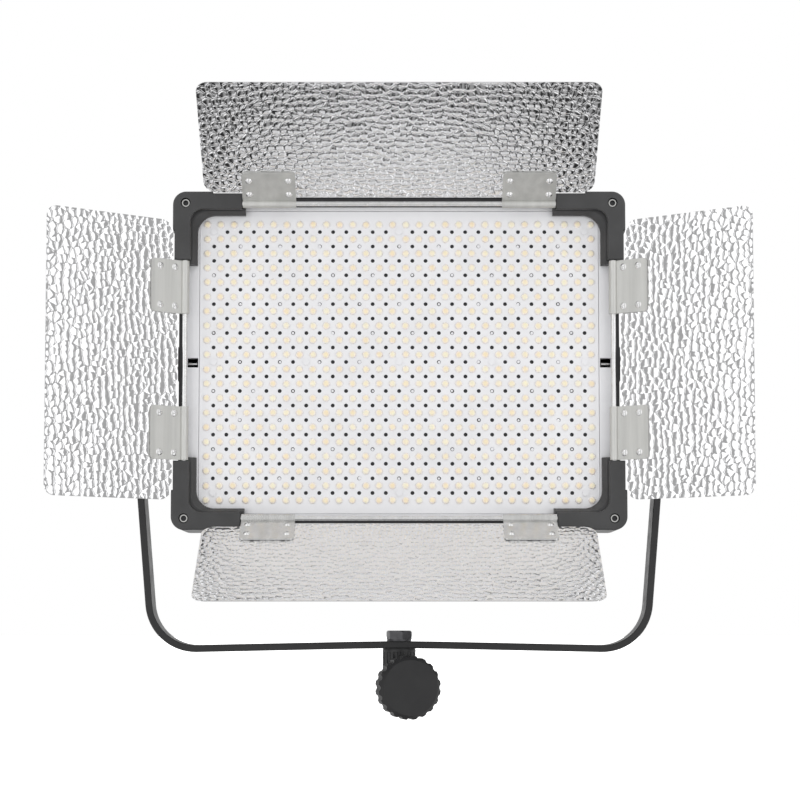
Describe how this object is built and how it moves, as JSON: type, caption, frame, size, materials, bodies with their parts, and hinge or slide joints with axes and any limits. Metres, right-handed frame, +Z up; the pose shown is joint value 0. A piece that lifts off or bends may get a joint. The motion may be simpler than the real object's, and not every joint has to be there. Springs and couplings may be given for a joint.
{
  "type": "led panel light",
  "caption": "Rectangular LED panel light with hammered fold-out barn doors on hinge rods, black corner guards, U yoke with tilt knobs, and a clamping stand adapter.",
  "frame": {"origin": "centre of the stand socket's mouth", "axes": "+Z up along the stand socket, the light shines towards -Y, +X to the right seen from the front"},
  "size_m": [0.5099, 0.1549, 0.4584],
  "materials": {
    "black_aluminium": "black anodised",
    "black_paint": "satin black powder coat",
    "black_plastic": "fine-textured black plastic",
    "brass": "plain",
    "bright_steel": "bright plated",
    "circuit_board": "solder mask",
    "dark_steel": "black oxide",
    "display_glass": "smoked window",
    "guard_plastic": "satin charcoal plastic",
    "hammered_aluminium": "bright hammered sheet",
    "hinge_steel": "brushed",
    "knob_plastic": "moulded black plastic",
    "led_phosphor": "pale phosphor domes, unlit",
    "nylon": "natural nylon",
    "switch_plastic": "glossy black",
    "white_enamel": "white solder mask and paint"
  },
  "bodies": {
    "stand_adapter": {"stand_adapter": "black_paint", "lock_insert": "brass", "yoke_bolt": "dark_steel", "bolt_washer": "dark_steel", "swivel_washer": "black_plastic"},
    "clamp": {"clamp_pad": "brass"},
    "stand_knob": {"stand_knob": "knob_plastic", "lock_stud": "bright_steel"},
    "yoke": {"yoke": "black_paint", "friction_washers": "nylon"},
    "tilt_knob_left": {"tilt_knob_left": "knob_plastic", "tilt_stud_left": "bright_steel"},
    "tilt_knob_right": {"tilt_knob_right": "knob_plastic", "tilt_stud_right": "bright_steel"},
    "power_switch": {"power_switch": "switch_plastic"},
    "leaf_left": {"leaf_left": "hammered_aluminium", "hinge_plates_left": "hinge_steel", "hinge_screws_left": "bright_steel"},
    "leaf_right": {"leaf_right": "hammered_aluminium", "hinge_plates_right": "hinge_steel", "hinge_screws_right": "bright_steel"},
    "leaf_top": {"leaf_top": "hammered_aluminium", "hinge_plates_top": "hinge_steel", "hinge_screws_top": "bright_steel"},
    "leaf_bottom": {"leaf_bottom": "hammered_aluminium", "hinge_plates_bottom": "hinge_steel", "hinge_screws_bottom": "bright_steel"},
    "battery_release_left": {"battery_release_left": "knob_plastic"},
    "dial_left": {"dial_left": "knob_plastic"},
    "push_button_left": {"push_button_left": "knob_plastic"},
    "battery_release_right": {"battery_release_right": "knob_plastic"},
    "dial_right": {"dial_right": "knob_plastic"},
    "push_button_right": {"push_button_right": "knob_plastic"},
    "panel": {"back_cover": "black_plastic", "battery_contacts": "brass", "battery_plate_left": "black_plastic", "battery_plate_right": "black_plastic", "board_screws": "white_enamel", "board_spacers": "brass", "control_board": "circuit_board", "cover_screws": "dark_steel", "dc_inlet": "black_plastic", "display_window": "display_glass", "driver_board": "circuit_board", "front_bezel": "white_enamel", "guard_bottom_left": "guard_plastic", "guard_bottom_right": "guard_plastic", "guard_screws": "dark_steel", "guard_top_left": "guard_plastic", "guard_top_right": "guard_plastic", "heat_spreader": "black_aluminium", "hinge_rods": "bright_steel", "housing_frame": "black_aluminium", "led_board": "white_enamel", "leds": "led_phosphor", "pivot_bosses": "black_aluminium", "switch_frame": "black_plastic"}
  },
  "joints": [
    {"name": "yoke_swivel", "type": "hinge", "parent": "stand_adapter", "child": "yoke", "pos_m": [0, 0, 0.0453], "axis": [0, 0, 1], "continuous": true},
    {"name": "panel_tilt", "type": "hinge", "parent": "yoke", "child": "panel", "pos_m": [0, 0, 0.258], "axis": [1, 0, 0], "range_deg": [-90, 15]},
    {"name": "leaf_right_fold", "type": "hinge", "parent": "panel", "child": "leaf_right", "pos_m": [0.1607, -0.024, 0.258], "axis": [0, 0, -1], "range_deg": [-37, 145]},
    {"name": "leaf_left_fold", "type": "hinge", "parent": "panel", "child": "leaf_left", "pos_m": [-0.1607, -0.024, 0.258], "axis": [0, 0, 1], "range_deg": [-38, 144]},
    {"name": "leaf_top_fold", "type": "hinge", "parent": "panel", "child": "leaf_top", "pos_m": [0, -0.024, 0.3765], "axis": [1, 0, 0], "range_deg": [-63, 119]},
    {"name": "leaf_bottom_fold", "type": "hinge", "parent": "panel", "child": "leaf_bottom", "pos_m": [0, -0.024, 0.1395], "axis": [-1, 0, 0], "range_deg": [-44.5, 112.5]},
    {"name": "tilt_knob_left_turn", "type": "hinge", "parent": "panel", "child": "tilt_knob_left", "pos_m": [-0.1976, 0, 0.258], "axis": [-1, 0, 0], "range_deg": [-180, 180]},
    {"name": "tilt_knob_right_turn", "type": "hinge", "parent": "panel", "child": "tilt_knob_right", "pos_m": [0.1976, 0, 0.258], "axis": [1, 0, 0], "range_deg": [-180, 180]},
    {"name": "clamp_slide", "type": "slide", "parent": "stand_adapter", "child": "clamp", "axis": [0.225, -0.9744, 0], "range_m": [-0.00125, 0.00125]},
    {"name": "lock_turn", "type": "hinge", "parent": "clamp", "child": "stand_knob", "pos_m": [0, 0, 0.0141], "axis": [0.225, -0.9744, 0], "range_deg": [-360, 360]},
    {"name": "dial_left_turn", "type": "hinge", "parent": "panel", "child": "dial_left", "pos_m": [-0.058, 0.036, 0.336], "axis": [0, 1, 0], "continuous": true},
    {"name": "push_button_left_press", "type": "slide", "parent": "panel", "child": "push_button_left", "axis": [0, -1, 0], "range_m": [0, 0.001], "stiffness_N_per_m": 800, "springref_m": -0.0005},
    {"name": "battery_release_left_press", "type": "slide", "parent": "panel", "child": "battery_release_left", "axis": [0, -1, 0], "range_m": [0, 0.0018], "stiffness_N_per_m": 800, "springref_m": -0.001},
    {"name": "dial_right_turn", "type": "hinge", "parent": "panel", "child": "dial_right", "pos_m": [0.058, 0.036, 0.336], "axis": [0, 1, 0], "continuous": true},
    {"name": "push_button_right_press", "type": "slide", "parent": "panel", "child": "push_button_right", "axis": [0, -1, 0], "range_m": [0, 0.001], "stiffness_N_per_m": 800, "springref_m": -0.0005},
    {"name": "battery_release_right_press", "type": "slide", "parent": "panel", "child": "battery_release_right", "axis": [0, -1, 0], "range_m": [0, 0.0018], "stiffness_N_per_m": 800, "springref_m": -0.001},
    {"name": "power_rock", "type": "hinge", "parent": "panel", "child": "power_switch", "pos_m": [0, 0.0305, 0.238], "axis": [-1, 0, 0], "range_deg": [0, 14]}
  ],
  "couplings": [
    {"joint": "clamp_slide", "follows": "lock_turn", "m_per_rad": 0.00019894}
  ]
}
